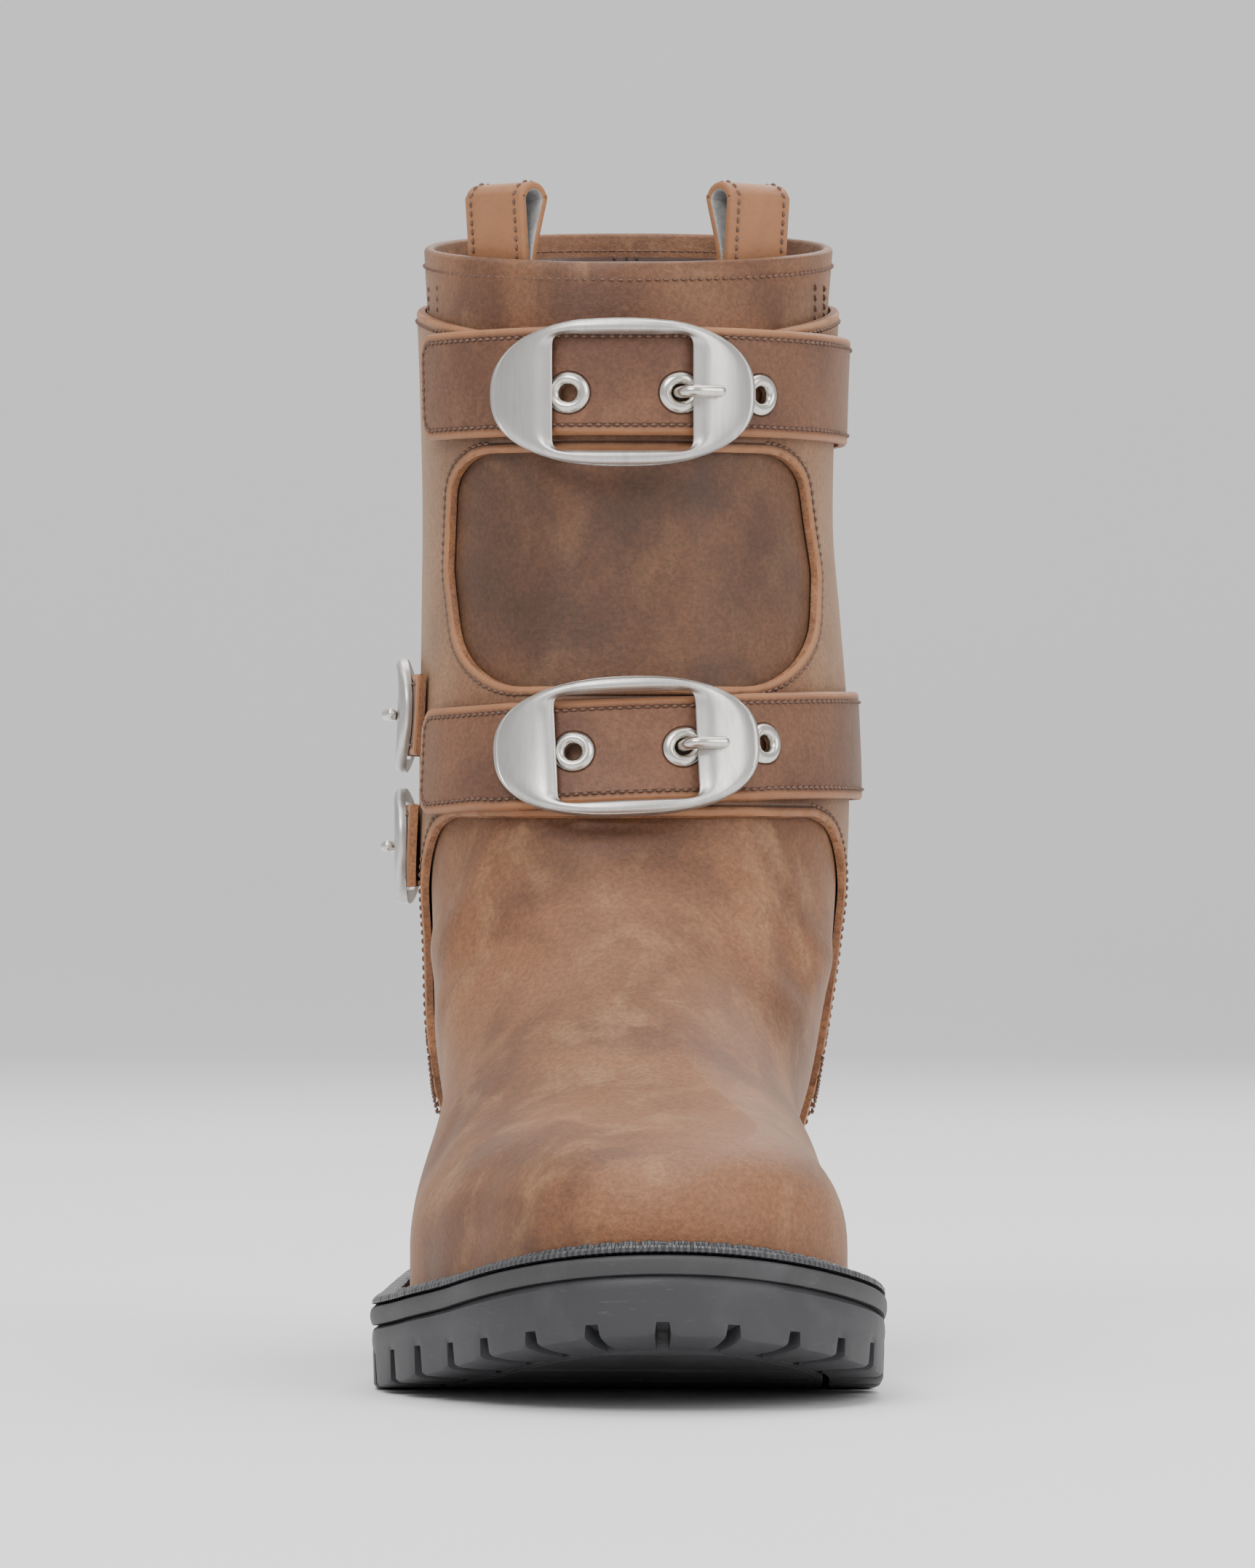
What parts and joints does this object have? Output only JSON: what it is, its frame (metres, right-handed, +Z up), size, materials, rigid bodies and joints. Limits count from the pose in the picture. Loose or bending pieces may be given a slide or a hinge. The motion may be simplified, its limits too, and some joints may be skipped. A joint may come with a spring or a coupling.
{
  "type": "motorcycle boot",
  "caption": "Brown leather biker boot for the right foot: strapped harness over the shaft, metal buckles, pull loops, lugged rubber sole.",
  "frame": {"origin": "on the ground, below the middle of the sole's width and length", "axes": "+Z up, -Y towards the toe, +X towards the inner side of the right foot"},
  "size_m": [0.1148, 0.2832, 0.2728],
  "materials": {
    "rubber": "matt",
    "insole": "matt",
    "dark_leather": "waxed, soft sheen",
    "leather": "waxed nubuck, soft sheen",
    "metal": "brushed old nickel"
  },
  "bodies": {
    "root": {"outsole": "rubber", "heel": "rubber", "midsole": "rubber", "welt": "rubber", "insole": "insole", "upper": "dark_leather", "harness": "leather", "strap_upper": "leather", "strap_lower": "leather", "side_strap_upper": "leather", "side_strap_lower": "leather", "pull_loop_lateral": "leather", "pull_loop_medial": "leather", "buckle_upper": "metal", "buckle_lower": "metal", "eyelet_upper_1": "metal", "eyelet_upper_2": "metal", "eyelet_upper_3": "metal", "eyelet_lower_1": "metal", "eyelet_lower_2": "metal", "eyelet_lower_3": "metal", "prong_upper": "metal", "prong_lower": "metal", "side_buckle_upper": "metal", "side_buckle_lower": "metal", "side_eyelet_upper": "metal", "side_eyelet_lower": "metal", "side_prong_upper": "metal", "side_prong_lower": "metal"}
  },
  "joints": []
}
